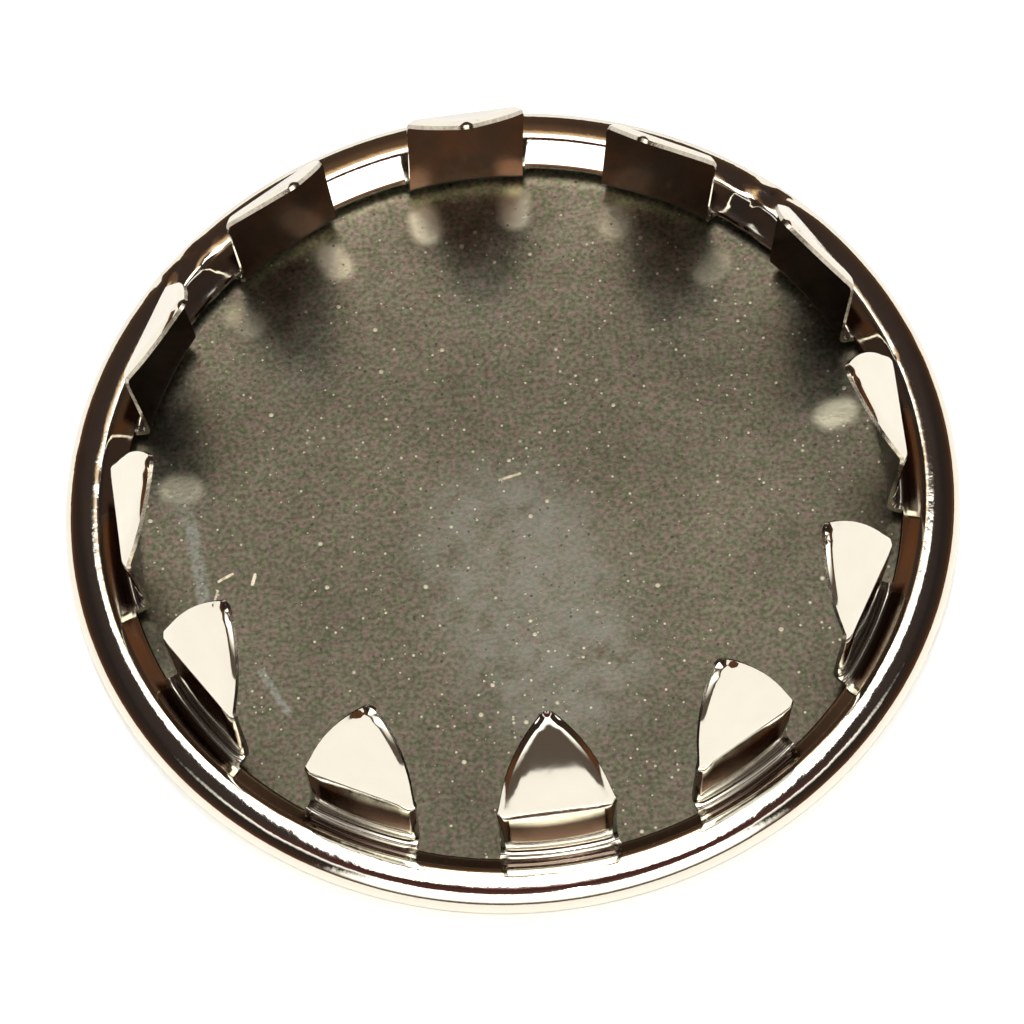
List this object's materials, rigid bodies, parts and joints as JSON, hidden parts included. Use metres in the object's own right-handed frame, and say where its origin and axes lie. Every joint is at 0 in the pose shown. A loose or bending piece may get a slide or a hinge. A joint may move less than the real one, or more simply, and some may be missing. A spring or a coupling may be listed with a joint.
{
  "type": "hole plug",
  "caption": "Snap-in hole plug pressed from one piece of sheet metal: a flat disc with a rolled rim and a crown of springy kneed prongs that catch behind a panel",
  "frame": {"origin": "centre of the flat front face, in the plane that the plug lies on", "axes": "Z is the plug's axis, from the front face to the tips of the prongs. X passes through the middle of one prong, and Y through the middle of another."},
  "size_m": [0.0432, 0.0432, 0.0111],
  "materials": {
    "nickel": "bright nickel plate on steel, with a dull back to the front sheet inside the prongs"
  },
  "bodies": {
    "root": {"hole_plug": "nickel"}
  },
  "joints": []
}
